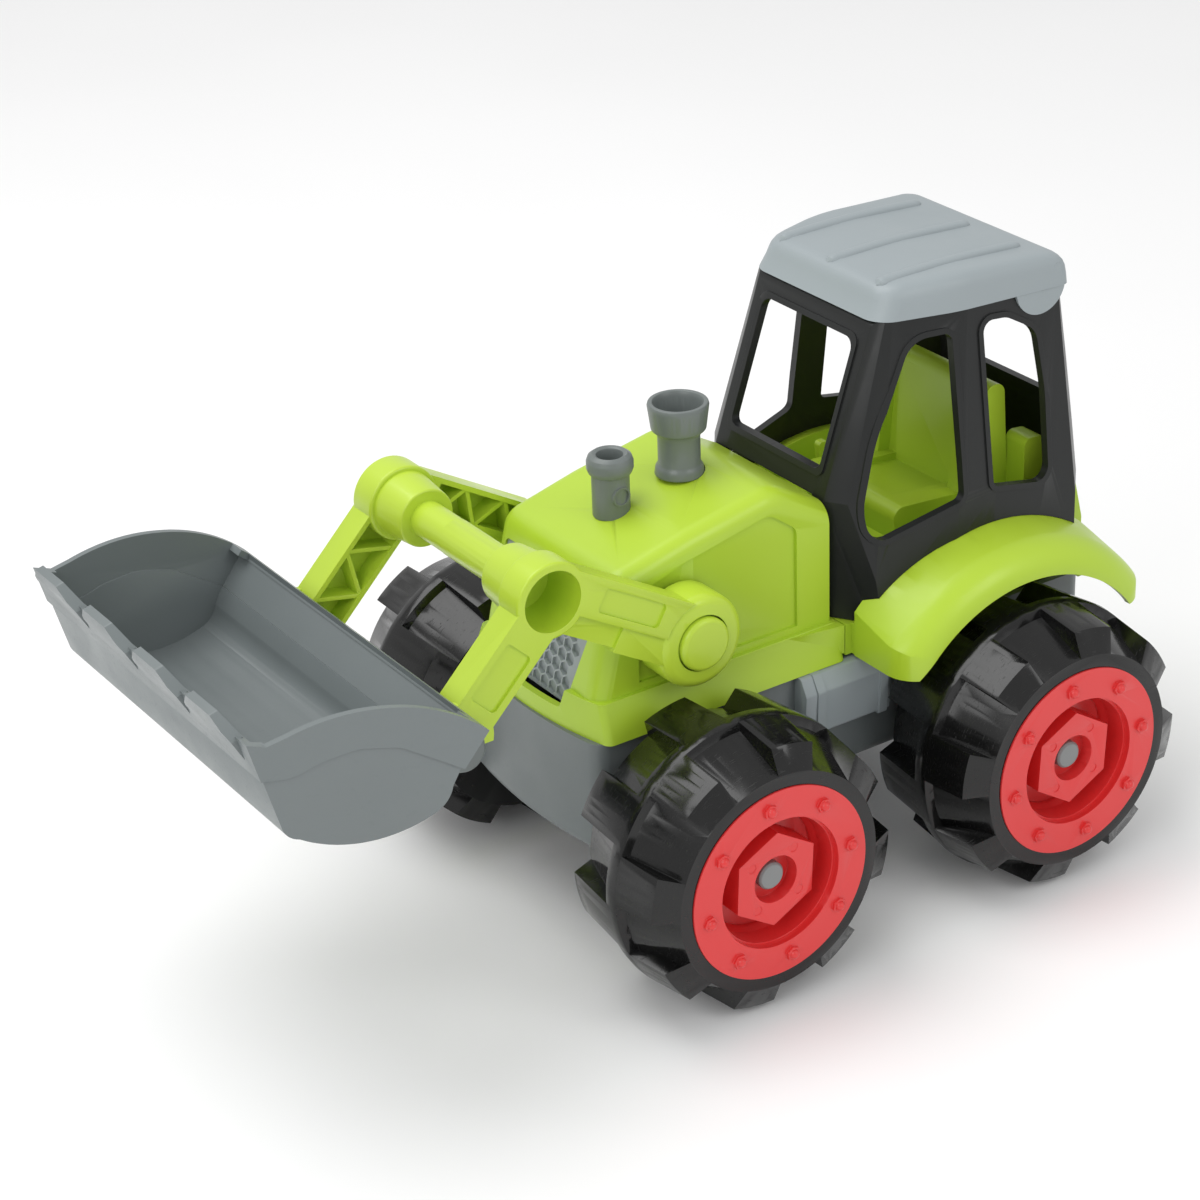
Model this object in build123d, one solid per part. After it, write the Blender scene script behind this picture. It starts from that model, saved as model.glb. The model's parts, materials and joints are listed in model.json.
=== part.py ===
from build123d import *
import math
import os

# Toy front loader: plastic tractor with a lifting loader frame and a tipping bucket.
# Frame: +X forward (bucket end), +Y to the toy's left, +Z up, origin on the floor
# under the middle of the toy.  All sizes in millimetres.

# ---- driving dimensions -------------------------------------------------------
REACH_FRONT = 173.4        # front axle to the tips of the bucket teeth
REACH_REAR = 185.0         # front axle to the back of the body
WHEELBASE = 125.0
TYRE_R = 49.3
TYRE_OUTER_S = 24.0        # tyre centre line to its outer foot
TYRE_INNER_S = 27.4        # tyre centre line to its inner foot
TYRE_MID_Y = 74.0
RIM_R = 33.95
AXLE_R = 4.8
BEARING_GAP = 0.08         # radial clearance of an axle in the chassis
PRESS = 0.05               # radial interference of a pressed piece
WALL = 2.4                 # moulded wall thickness
CHASSIS_HALF_W = 39.5
CHASSIS_BOTTOM = 40.0
SKIRT_BOTTOM = 82.0
SKIRT_CREASE = 94.6
HOOD_HALF_W = 34.7
ARM_INNER_Y = 39.5
ARM_OUTER_Y = 50.0

FX = (REACH_REAR - REACH_FRONT) / 2      # front axle position
RX = FX - WHEELBASE                      # rear axle position
AXLE_Z = TYRE_R

# points of the loader frame, in side view
LIFT_X, LIFT_Z = FX - 6.1, 112.9         # lift pivot, on the sides of the hood
ELBOW_X, ELBOW_Z = FX + 50.0, 145.8      # cross tube
TILT_X, TILT_Z = FX + 87.2, 108.5        # bucket hinge


# ---- small helpers ------------------------------------------------------------
def outline(corners):
    """Closed face in the XY plane; a corner is (a, b) or (a, b, fillet radius)."""
    face = make_face(Polyline(*[(c[0], c[1]) for c in corners], close=True))
    for corner in corners:
        if len(corner) == 3:
            a, b, radius = corner
            vertex = min(face.vertices(), key=lambda v: (v.X - a) ** 2 + (v.Y - b) ** 2)
            face = fillet(vertex, radius)
    return face


def side_view(corners, dx=FX):
    """Face in the XZ plane; a corner is (x from the front axle, z[, radius])."""
    moved = [(c[0] + dx,) + tuple(c[1:]) for c in corners]
    return Plane.XZ * outline(moved)


def across(face, half_width):
    """Extrude a side view to both sides of the middle plane."""
    return extrude(face, amount=half_width, both=True)


def slab(face, y_low, y_high):
    """Extrude a side view from y_low to y_high."""
    return Pos(0, y_high, 0) * extrude(face, amount=y_high - y_low)


def rod(x, z, radius, y_low, y_high, end_radius=None):
    """Round bar or cone along Y; end_radius is the radius at y_high."""
    length = y_high - y_low
    if end_radius is None:
        bar = Cylinder(radius, length)
    else:
        bar = Cone(radius, end_radius, length)
    return Pos(x, (y_low + y_high) / 2, z) * Rot(X=-90) * bar


def block(x_low, x_high, y_low, y_high, z_low, z_high):
    """Box between two corners."""
    size = Box(x_high - x_low, y_high - y_low, z_high - z_low)
    return Pos((x_low + x_high) / 2, (y_low + y_high) / 2, (z_low + z_high) / 2) * size


def right_hand(part):
    """Copy of a left-hand piece on the other side of the toy."""
    return mirror(part, about=Plane.XZ)


# ---- wheels -------------------------------------------------------------------
LUGS = 8
LUG_ANGLE = 20.0
FIRST_LUG = 10.0
TYRE_FOOT_R = 38.6
SHOULDER_R = 46.9
OUTER_SHOULDER_S, INNER_SHOULDER_S = 19.5, 24.0
VALLEY_R = 45.9
BAND_S = 2.6               # half width of the plain band between the two rows of lugs
HUB_CORNER_R = 17.0
HUB_FACE_S = 21.2
BOLTS = 8
BOLT_CIRCLE = 28.2
FIRST_BOLT = 8.5
MARK_CIRCLE, MARK_R = 11.7, 1.6          # round ejector marks on the hub


def turned(points):
    """Solid of revolution about Z from (radius, height) points."""
    return revolve(Plane.XZ * make_face(Polyline(*points, close=True)), Axis.Z)


def lug(foot_s, shoulder_s):
    """One lug of the upper row, centred on +X."""
    face = Plane.XZ * make_face(Polyline(
        (TYRE_FOOT_R - 0.4, foot_s - 0.6), (SHOULDER_R, shoulder_s), (TYRE_R, 0),
        (VALLEY_R - 1, 0), (TYRE_FOOT_R - 1.5, foot_s - 3), close=True))
    return Rot(Z=-LUG_ANGLE / 2) * revolve(face, Axis.Z, LUG_ANGLE)


def tyre():
    """Hollow tyre with two rows of lugs, axis Z, outer side up."""
    w, v = TYRE_OUTER_S, TYRE_INNER_S
    carcass = turned([
        (34.05, w - 0.6), (TYRE_FOOT_R, w - 0.6), (VALLEY_R, BAND_S + 0.5), (TYRE_R - 0.3, BAND_S),
        (TYRE_R, 0), (TYRE_R - 0.3, -BAND_S), (VALLEY_R, -BAND_S - 0.5), (TYRE_FOOT_R, -v + 0.6), (26, -v),
        (26, -v + WALL), (36.4, -v + 3), (44, -2), (44, 2), (36.4, w - 3), (34.05, w - 3)])
    pitch = 360 / LUGS
    outer_lug = lug(w, OUTER_SHOULDER_S)
    inner_lug = mirror(lug(v, INNER_SHOULDER_S), about=Plane.XY)
    lugs = [Rot(Z=-FIRST_LUG - pitch * k) * outer_lug for k in range(LUGS)]
    lugs += [Rot(Z=-FIRST_LUG - pitch * (k + 0.5)) * inner_lug for k in range(LUGS)]
    return carcass + lugs


def rim():
    """Red wheel centre: flat ring, deep recess, hexagonal hub, axis Z, outer side up."""
    face = TYRE_OUTER_S
    body = turned([
        (0, 8.6), (20.6, 8.6), (20.6, 12), (22.2, 14), (22.2, face - WALL), (31.6, face - WALL),
        (31.6, 4), (RIM_R, 4), (RIM_R, face), (23, face), (23, 11), (0, 11)])
    hub = extrude(Rot(Z=-33) * RegularPolygon(HUB_CORNER_R, 6), HUB_FACE_S - 11)
    body += Pos(0, 0, 11) * hub
    body += Pos(0, 0, -12) * Cylinder(8, 42)
    body -= Pos(0, 0, HUB_FACE_S - 2.5) * Cylinder(8.3, 5.01)
    body -= Cylinder(AXLE_R - PRESS, 80)
    nut = Pos(0, 0, face) * extrude(RegularPolygon(2.6, 6), 1.1)
    dome = Pos(0, 0, face + 0.9) * Sphere(1.75)
    bolt = Pos(BOLT_CIRCLE, 0, 0) * (nut + (dome & Pos(0, 0, face + 2) * Box(6, 6, 4)))
    mark = Pos(MARK_CIRCLE, 0, HUB_FACE_S) * Cylinder(MARK_R, 0.6)
    body -= [Rot(Z=-38 - 90 * k) * mark for k in range(4)]
    return body + [Rot(Z=FIRST_BOLT - 360 / BOLTS * k) * bolt for k in range(BOLTS)]


def on_axle(wheel, x):
    """Left-hand wheel piece, standing on the floor."""
    return Pos(x, TYRE_MID_Y, AXLE_Z) * Rot(X=-90) * wheel


def axle(x):
    bar = Cylinder(AXLE_R, 2 * 93.3)
    bar = chamfer(bar.edges(), 0.7)
    return Pos(x, 0, AXLE_Z) * Rot(X=-90) * bar


# ---- chassis ------------------------------------------------------------------
CHASSIS_REAR = -178.0
CHASSIS_FRONT = 29.0
SCREW_PLACES = [(12, 22), (12, -22), (-52, 22), (-52, -22), (-150, 22), (-150, -22)]
SCREW_R = 1.4


def plan(front, bulge, half_w, rear, corner):
    """Plan outline with a gently bowed front and rounded rear corners."""
    line = Polyline((front, half_w), (rear, half_w), (rear, -half_w), (front, -half_w))
    bow = ThreePointArc((front, -half_w), (front + bulge, 0), (front, half_w))
    face = make_face([line, bow])
    return Pos(FX, 0, 0) * fillet(face.vertices(), corner)


def chassis():
    depth = SKIRT_BOTTOM - CHASSIS_BOTTOM
    outer = extrude(plan(CHASSIS_FRONT, 4, CHASSIS_HALF_W, CHASSIS_REAR, 6), depth)
    outer = fillet(outer.faces().sort_by(Axis.Z)[0].edges(), 5)
    inner = extrude(plan(CHASSIS_FRONT - WALL, 4, CHASSIS_HALF_W - WALL, CHASSIS_REAR + WALL, 4), depth)
    tub = Pos(0, 0, CHASSIS_BOTTOM) * (outer - Pos(0, 0, WALL) * inner)
    hw = CHASSIS_HALF_W
    for x in (FX, RX):
        tub += rod(x, AXLE_Z, 8, -hw + 0.5, hw - 0.5)
        tub += block(x - 1.2, x + 1.2, -hw + 1, hw - 1, CHASSIS_BOTTOM + 1, AXLE_Z + 14)
    for x, y in SCREW_PLACES:
        tub += Pos(FX + x, y, (CHASSIS_BOTTOM + SKIRT_BOTTOM) / 2 + 0.5) * Cylinder(4, depth - 1)
    for x in (FX, RX):
        tub -= rod(x, AXLE_Z, AXLE_R + BEARING_GAP, -hw - 1, hw + 1)
    for x, y in SCREW_PLACES:
        tub -= Pos(FX + x, y, CHASSIS_BOTTOM + 14) * Cylinder(3.1, 34)
        tub -= Pos(FX + x, y, CHASSIS_BOTTOM + 30) * Cylinder(SCREW_R + 0.1, 40)
    return tub


def screws():
    """Six identical self-tapping screws, heads down, holding the mouldings to the chassis."""
    head_z = CHASSIS_BOTTOM + 31
    head = Pos(0, 0, head_z - 1) * Cylinder(2.8, 2)
    shank = Pos(0, 0, head_z + 9) * Cylinder(SCREW_R, 18)
    slot = Pos(0, 0, head_z - 2) * (Box(3.6, 0.7, 1.2) + Box(0.7, 3.6, 1.2))
    screw = head + shank - slot
    return Compound([Pos(FX + x, y, 0) * screw.solid() for x, y in SCREW_PLACES])


def screw_boss(x, y, top):
    """Boss on the underside of a moulding that a screw bites into."""
    height = top - SKIRT_BOTTOM
    boss = Pos(FX + x, y, SKIRT_BOTTOM + height / 2) * Cylinder(4, height)
    return boss - Pos(FX + x, y, SKIRT_BOTTOM + 5.5) * Cylinder(SCREW_R - PRESS, 11.2)


def side_box():
    """Light grey step box on the left side of the chassis, with two raised bands."""
    section = [(CHASSIS_HALF_W, 60), (45.2, 60, 1), (46.2, 76, 2), (43.0, 81.8, 1.5), (CHASSIS_HALF_W, 81.8)]
    body = extrude(Plane.YZ * outline(section), 36)
    body = Pos(FX - 86, 0, 0) * body
    band_section = [(CHASSIS_HALF_W, 59.3), (45.9, 59.3, 1), (46.9, 76.3, 2), (43.4, 82, 1), (CHASSIS_HALF_W, 82)]
    band = extrude(Plane.YZ * outline(band_section), 3.4)
    for x in (-84.5, -58):
        body += Pos(FX + x, 0, 0) * band
    return body


# ---- hood ---------------------------------------------------------------------
HOOD_REAR = -68.5
HOOD_SIDE = [(27.5, SKIRT_BOTTOM + 2), (26.8, 93), (16.3, 136.0, 9), (-12, 143.2, 60),
             (-47, 149.8, 16), (HOOD_REAR, 137.6), (HOOD_REAR, SKIRT_BOTTOM + 2)]
PANEL_SIDE = [(9, 97), (9, 129, 4), (-12, 134.8, 60), (-44, 141.2, 7), (-55, 133, 5), (-55, 97)]
STACK_TALL_X, STACK_SHORT_X = FX - 33.0, FX - 5.5
STACK_HOLE_R = 6.0
STACK_TALL_FOOT, STACK_SHORT_FOOT = 147.2, 139.6
SKIRT_REAR = -70.6
PIN_R = 5.0                # pivot pin of the loader frame


def hood_block(inset):
    """Upper part of the hood, inset by a wall thickness for its hollow."""
    face = side_view(HOOD_SIDE)
    if inset:
        face = offset(face, -inset)
    body = across(face, HOOD_HALF_W - inset)
    tall = body.edges().filter_by(lambda e: e.center().X > FX + 10 and abs(e.center().Y) > 30)
    upper = body.edges().filter_by(lambda e: e.center().Z > 120 and abs(e.center().Y) > 30)
    soft = {e for e in list(tall) + list(upper) if e.center().X > FX + HOOD_REAR + inset + 0.5}
    return fillet(list(soft), 6.5 - inset)


def hood_skirt(inset):
    """Flared band along the bottom of the hood."""
    low = plan(26 - inset, 6, 41.6 - inset, SKIRT_REAR + inset, 3)
    high = plan(25.2 - inset, 5.2, 36.4 - inset, SKIRT_REAR + inset, 3)
    return loft([Pos(0, 0, SKIRT_BOTTOM) * low, Pos(0, 0, SKIRT_CREASE) * high])


def grille_face(grow, z_low, z_high):
    """Trapezoid of the grille, seen from the front; its half width grows upwards."""
    low, high = (18.5 + (z - 88) * 0.25 + grow for z in (z_low, z_high))
    return [(-low, z_low, 2), (low, z_low, 2), (high, z_high, 2), (-high, z_high, 2)]


def hood():
    body = hood_block(0) + hood_skirt(0)
    wedge = Pos(FX, 0, SKIRT_BOTTOM + 2) * extrude(outline([(-50, 34), (SKIRT_REAR, 34), (SKIRT_REAR, 40.2),
                                                           (-50, 36.6)]), SKIRT_CREASE - SKIRT_BOTTOM - 2.2)
    body += wedge + right_hand(wedge)
    body -= hood_block(WALL)
    body -= Pos(0, 0, -0.01) * hood_skirt(WALL)
    body -= block(FX - 90, FX + HOOD_REAR, -31.5, 31.5, SKIRT_BOTTOM - 1, 120)
    for side in (1, -1):
        y = side * HOOD_HALF_W
        panel = slab(side_view(PANEL_SIDE), min(y, y - side * 1.2), max(y, y - side * 1.2))
        body -= panel
        boss = rod(LIFT_X, LIFT_Z, 9, min(y, y - side * 7), max(y, y - side * 7))
        body += boss
    body -= rod(LIFT_X, LIFT_Z, PIN_R + 0.02, -50, 50)
    for x, seat_z, seat_r in ((STACK_TALL_X, STACK_TALL_FOOT, 8.5), (STACK_SHORT_X, STACK_SHORT_FOOT + 1, 6.35)):
        body -= Pos(x, 0, 150) * Cylinder(STACK_HOLE_R + 0.03, 40)
        body -= Pos(x, 0, seat_z + 10) * Cylinder(seat_r, 20)
    window = extrude(Plane.YZ * outline(grille_face(0.15, 87.85, 128.15)), 30)
    body -= Pos(FX + 10, 0, 0) * window
    for x, y in SCREW_PLACES[:4]:
        wall_y = math.copysign(HOOD_HALF_W - WALL + 0.4, y)
        near, far = sorted((y, wall_y))
        rib = block(FX + x - 0.8, FX + x + 0.8, near, far, SKIRT_BOTTOM + 12, 112)
        rib -= Pos(FX + x, y, 0) * Cylinder(3.5, 400)
        body += [screw_boss(x, y, 112), rib]
    return body


def grille():
    """Honeycomb insert in the front of the hood."""
    slope = math.degrees(math.atan2(26.8 - 16.3, 136 - 93))
    plate = extrude(Plane.YZ * outline(grille_face(0, 88, 128)), 30)
    shell = side_view([(28.4, 80), (26.0, 93), (15.5, 136), (13.1, 136), (23.6, 93), (26.0, 80)])
    body = (Pos(FX + 5, 0, 0) * plate) & across(shell, 60)
    cells = []
    pitch = 4.7
    for row in range(9):
        z = 90.5 + row * pitch * 0.866
        for column in range(-8, 9):
            y = (column + 0.5 * (row % 2)) * pitch
            if abs(y) < 18.5 + (z - 88) * 0.25 - 3.6:
                x = FX + 26.0 - (z - 93) * math.tan(math.radians(slope))
                cell = extrude(Plane.YZ * (Rot(Z=90) * RegularPolygon(2.35, 6)), 4)
                cells.append(Pos(x - 1.0, y, z) * cell)
    return body - cells


def stack_tall():
    """Exhaust with a funnel top, plugged into the hood."""
    foot = STACK_TALL_FOOT
    return Pos(STACK_TALL_X, 0, 0) * turned([
        (0, foot - 6), (STACK_HOLE_R, foot - 6), (STACK_HOLE_R, foot), (8.4, foot), (8.0, foot + 2.6),
        (7.1, foot + 4.2), (7.1, 160.6), (7.6, 162.2), (9.2, 163.4), (10.3, 171.8), (10.0, 172.9),
        (8.6, 172.9), (8.0, 171.6), (6.6, 163), (5.4, 160), (5.4, 152), (0, 152)])


def stack_short():
    """Air intake with a rounded cap, plugged into the hood."""
    foot = STACK_SHORT_FOOT
    body = turned([
        (0, foot - 5), (STACK_HOLE_R, foot - 5), (STACK_HOLE_R, foot + 1), (6.3, foot + 1),
        (6.3, 155.0), (7.2, 155.6), (7.8, 157.2), (7.8, 159.6), (7.2, 161.2), (5.8, 162.2),
        (4.5, 161.6), (4.2, 160), (4.2, 152), (0, 152)])
    badge = Pos(0, 3.2, 148.6) * Rot(X=-90) * (Cylinder(3.3, 6.8) - Cylinder(2.7, 7))
    return Pos(STACK_SHORT_X, 0, 0) * (body + badge)


# ---- rear body: mudguards, cab floor and seat -------------------------------------
CAB_FRONT, CAB_REAR = -69.2, -175.0
TUB_FRONT, TUB_REAR = -71.8, -172.4
TUB_FRONT_HALF, TUB_REAR_HALF = 26.5, 33.2
FLOOR_Z = 109.0
GUARD_FRONT, GUARD_REAR = -73.2, -180.0
GUARD_INNER_Y, GUARD_OUTER_Y = 42.2, 71.4
GUARD_ARCH_R = 57.0                      # clearance around the tyre
TAIL_X = -REACH_REAR


def tub_plan(inset, corner):
    """Plan of the box below the cab floor: a trapezoid that widens to the rear."""
    a, b = TUB_FRONT_HALF - inset, TUB_REAR_HALF - inset
    front, rear = TUB_FRONT - inset, TUB_REAR + inset
    return Pos(FX, 0, 0) * outline([(front, a, corner), (rear, b, corner), (rear, -b, corner), (front, -a, corner)])


def guard_skin(inset):
    """Solid under the mudguard's surface, left side, around the rear axle."""
    y = GUARD_OUTER_Y - inset
    low = GUARD_INNER_Y if inset > 0 else GUARD_INNER_Y + inset
    section = Plane.YZ * outline([(low, 20), (y, 20), (y, 66.5 - inset, 13 - inset), (low, 72.1 - inset)])
    turned_section = Pos(RX, 0, AXLE_Z) * revolve(section, Axis.Y)
    front, rear = GUARD_FRONT - inset, GUARD_REAR + inset
    ends = outline([(front, 30), (front, y, 12 - inset), (rear, y, 12 - inset), (rear, 30)])
    return turned_section & (Pos(FX, 0, 60) * extrude(ends, 140))


def mudguard():
    outer = guard_skin(0)
    skin = outer - guard_skin(WALL)
    skin += outer & block(-300, 300, GUARD_INNER_Y, GUARD_INNER_Y + WALL, 60, 200)
    skin -= rod(RX, AXLE_Z, GUARD_ARCH_R, GUARD_INNER_Y - 1, 90)
    return skin & block(-300, 300, 28, 90, SKIRT_BOTTOM + 1, 200)


def seat():
    """Seat with a winged backrest, moulded in one with the cab floor."""
    cushion = side_view([(-105, FLOOR_Z), (-103, 122, 4), (-140, 119, 3), (-140, FLOOR_Z)])
    body = across(cushion, 25)
    dip = side_view([(-110, 125), (-112, 119.5, 3), (-140, 116.5), (-140, 125)])
    body -= across(dip, 15)
    back = side_view([(-136, FLOOR_Z), (-141, 157, 4), (-149, 158.5, 4), (-152, FLOOR_Z)])
    wings = side_view([(-131, FLOOR_Z), (-133, 128, 5), (-137.5, 152, 5), (-149, 158.5, 5), (-152, FLOOR_Z)])
    body += across(wings, 28) - across(wings, 19)
    body += across(back, 28)
    console = side_view([(-151, FLOOR_Z), (-151, 139, 3), (-160, 138, 4), (-168, 118), (-168, FLOOR_Z)])
    for low, high in ((27.0, 37.0), (-37.0, -27.0)):
        body += slab(console, low, high)
    lever = side_view([(-112, FLOOR_Z), (-110, 127, 1.5), (-114, 127, 1.5), (-118, FLOOR_Z)])
    return body + slab(lever, -27.5, -24.5)


def rear_body():
    tub = extrude(Pos(0, 0, SKIRT_BOTTOM) * tub_plan(0, 3), FLOOR_Z - SKIRT_BOTTOM)
    tub -= extrude(Pos(0, 0, SKIRT_BOTTOM) * tub_plan(WALL, 2), FLOOR_Z - SKIRT_BOTTOM - WALL)
    floor = cab_block(WALL + 0.25) & block(-300, 300, -GUARD_INNER_Y - 1, GUARD_INNER_Y + 1, FLOOR_Z - WALL, FLOOR_Z)
    guard = mudguard()
    body = tub + floor + guard + right_hand(guard)
    step = block(FX + GUARD_FRONT - 18, FX + GUARD_FRONT - 0.5, 24, GUARD_INNER_Y + 0.5, SKIRT_BOTTOM + 1, SKIRT_CREASE - 0.1)
    step += block(FX + GUARD_FRONT - 1, FX + SKIRT_REAR - 0.4, 24, 40.2, SKIRT_BOTTOM + 1, SKIRT_CREASE - 0.1)
    step -= block(FX + GUARD_FRONT - 18 + WALL, FX + GUARD_FRONT - 0.5, 27, 40, SKIRT_BOTTOM, SKIRT_CREASE - WALL)
    body += step + right_hand(step)
    tail = side_view([(CAB_REAR - 0.3, 126), (-178.5, 124, 2), (TAIL_X, 97, 4), (TAIL_X, SKIRT_BOTTOM + 1),
                      (CAB_REAR - 0.3, SKIRT_BOTTOM + 1)])
    hollow = side_view([(-177.4, 114), (TAIL_X + WALL, 96), (TAIL_X + WALL, SKIRT_BOTTOM),
                        (-177.4, SKIRT_BOTTOM)])
    body += across(tail, 30) - across(hollow, 30 - WALL)
    link = side_view([(-168, SKIRT_BOTTOM + 1), (-168, 98), (-177.5, 98), (-177.5, SKIRT_BOTTOM + 1)])
    body += across(link, 28) - across(link, 28 - WALL)
    body += seat()
    bosses = [screw_boss(x, y, FLOOR_Z - 1) for x, y in SCREW_PLACES[4:]]
    return body + bosses


# ---- cab and roof ----------------------------------------------------------------
SCREEN_FOOT, SCREEN_HEAD = (-69.4, 137.0), (-89.6, 196.0)
CAB_BOTTOM = SKIRT_CREASE + 0.2
CAB_SIDE = [(CAB_FRONT, 70.0), SCREEN_FOOT, SCREEN_HEAD + (4,), (-163.5, 196.0, 6), (-171.6, 164.0, 80),
            (CAB_REAR, 138.0, 60), (CAB_REAR, 70.0)]
# flat faces on the left side of the cab, three points each: front corner below and above the belt,
# its rounding, the cheek, the side, and the rear corner below and above the belt
CAB_FACES = [
    [(-69.4, 30.9, 115), (-77.65, 43.45, 115), (-69.4, 30.1, 137)],
    [(-69.4, 30.1, 137), (-77.65, 42.65, 137), (-90.5, 31.5, 196)],
    [(-75.7, 39.7, 130), (-82.6, 43.5, 130), (-92.2, 33.9, 196)],
    [(-77.65, 42.65, 130), (-112, 48.6, 130), (-97, 35.5, 196)],
    [(-112, 48.4, 132), (-157, 48.4, 132), (-135, 39.8, 196)],
    [(-166.8, 46, 110), (-176, 36, 110), (-176, 36, 130)],
    [(-165.3, 46, 130), (-174.5, 36, 130), (-167, 36, 178.2)],
]
DOOR = [(-79.0, 122.9, 5.5), (-77.9, 134.5, 25), (-84.7, 158.5, 80), (-99.8, 188.6, 10), (-114.9, 188.6, 3),
        (-114.3, 131.5, 3.5)]
QUARTER = [(-127.3, 189.6, 4), (-137.5, 188.6, 8), (-149.6, 181.5, 8), (-151.9, 160, 60), (-151.2, 127.9, 5),
           (-127.3, 132.4, 2.5)]
SCREEN_Z = (145.6, 188.6)
SCREEN_HALF = (24.6, 24.4)
REAR_Z = (147.0, 186.0)
REAR_HALF = 26.0
BEAD = 2.0                 # width of the raised bead around each window
BEAD_H = 0.6


def cab_block(inset):
    """Outer form of the cab, or its hollow when inset."""
    face = side_view(CAB_SIDE)
    if inset:
        face = offset(face, -inset)
    body = across(face, 70)
    for points in CAB_FACES:
        p, q, r = [Vector(*point) for point in points]
        normal = (q - p).cross(r - p)
        beyond = Plane(origin=p + Vector(FX, 0, 0), z_dir=normal) * Pos(0, 0, 100 - inset) * Box(500, 500, 200)
        body -= beyond
        body -= right_hand(beyond)
    return body


def window_cut(grow):
    """All six window openings as one tool, each grown by the same margin."""
    side = offset(side_view(DOOR), grow) + offset(side_view(QUARTER), grow)
    low, high = SCREEN_Z[0] - grow, SCREEN_Z[1] + grow
    front_face = outline([(-SCREEN_HALF[0] - grow, low, 3), (SCREEN_HALF[0] + grow, low, 3),
                          (SCREEN_HALF[1] + grow, high, 4), (-SCREEN_HALF[1] - grow, high, 4)])
    front = Pos(FX - 110, 0, 0) * extrude(Plane.YZ * front_face, 60)
    low, high = REAR_Z[0] - grow, REAR_Z[1] + grow
    rear_face = outline([(-REAR_HALF - grow, low, 3), (REAR_HALF + grow, low, 3),
                         (REAR_HALF + grow, high, 4), (-REAR_HALF - grow, high, 4)])
    rear = Pos(FX - 190, 0, 0) * extrude(Plane.YZ * rear_face, 40)
    return across(side, 60) + front + rear


def cab_frame():
    shell = cab_block(0) - cab_block(WALL)
    beads = (cab_block(-BEAD_H) - cab_block(WALL / 2)) & window_cut(BEAD)
    shell += beads & block(-300, 300, -70, 70, CAB_BOTTOM, 192)
    shell -= window_cut(0)
    shell -= block(-300, 300, -70, 70, 60, CAB_BOTTOM)
    guard = guard_skin(-0.15)
    shell -= guard
    shell -= right_hand(guard)
    shell -= block(FX - 100, FX, -24, 24, 60, 137.4)
    shell -= block(FX - 180, FX - 170, -31, 31, 60, 110)
    return shell


ROOF_SIDE = [(-88.6, 196.0), (-94.0, 206.6, 6), (-130, 207.6, 150), (-161, 204.9, 7), (-165.6, 199.0, 3),
             (-165.6, 193.9)]
ROOF_FRONT_HALF, ROOF_MIDDLE_HALF, ROOF_REAR_HALF = 33.6, 39.6, 42.4
LOBE_X, LOBE_Z, LOBE_R = -153.6, 196.6, 10.8


def roof_plan(inset, corner):
    front, middle, rear = (-88.0 - inset, ROOF_FRONT_HALF - inset), (-118, ROOF_MIDDLE_HALF - inset), (-165.6 + inset, ROOF_REAR_HALF - inset)
    left = [front + (corner,), middle + (70,), rear + (corner,)]
    right = [(x, -y, radius) for x, y, radius in reversed(left)]
    return Pos(FX, 0, 0) * outline(left + right)


def roof_section(x, half_w, top_z):
    """Front view of the roof with rounded shoulders."""
    face = outline([(-half_w, 170), (-half_w, top_z, 6), (half_w, top_z, 6), (half_w, 170)])
    return Pos(FX + x, 0, 0) * (Plane.YZ * face)


def roof_rib(y):
    """Raised rib on the roof, with rounded ends."""
    profile = side_view([(-93, 200), (-95, 208.0, 4), (-130, 209.2, 150), (-157, 206.9, 4), (-159, 200)])
    return slab(profile, y - 2.2, y + 2.2) & (Pos(FX - 126, y, 190) * extrude(SlotOverall(66, 4.4), 30))


def roof():
    shoulders = loft([roof_section(-170, ROOF_REAR_HALF + 0.4, 206.2), roof_section(-84, ROOF_FRONT_HALF + 1.6, 208.0)])
    solid = extrude(roof_plan(0, 8), 260) & shoulders
    body = across(side_view(ROOF_SIDE), 60) & solid
    for y in (-27.5, 0, 27.5):
        body += roof_rib(y)
    hollow = across(offset(side_view(ROOF_SIDE), -WALL), 60) & extrude(roof_plan(WALL, 6), 260)
    below = side_view([(-91.2, 180), (-91.2, 199), (-163.2, 199), (-163.2, 180)])
    hollow += across(below, 60) & extrude(roof_plan(WALL, 6), 260)
    body -= hollow
    lobe = (rod(FX + LOBE_X, LOBE_Z, LOBE_R, 30, 60) & solid) - extrude(roof_plan(WALL, 6), 260)
    body += lobe + right_hand(lobe)
    return body - cab_block(-0.12)


# ---- loader frame -----------------------------------------------------------------
COLLAR_END_Y = 24.3
TUBE_R = 6.4
RING_R = 13.0
EYE_R = 9.0
BOSS_R = 16.2
TILT_PIN_R = 4.0
HINGE_GAP = 0.08
SEAM_Y = -6.5              # where the two halves of the cross tube meet


def along(x1, z1, x2, z2):
    """Length and direction of the line between two points in side view."""
    length = math.hypot(x2 - x1, z2 - z1)
    return length, (x2 - x1) / length, (z2 - z1) / length


def strip(x1, z1, x2, z2, low, high, start=0.0, end=0.0, taper=0.0):
    """Side view of a bar that follows a line; low and high are offsets to its left."""
    length, dx, dz = along(x1, z1, x2, z2)
    corners = [(start, low), (length - end, low - taper), (length - end, high + taper), (start, high)]
    moved = [(x1 + a * dx - b * dz, z1 + a * dz + b * dx) for a, b in corners]
    return side_view(moved, dx=0)


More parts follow.
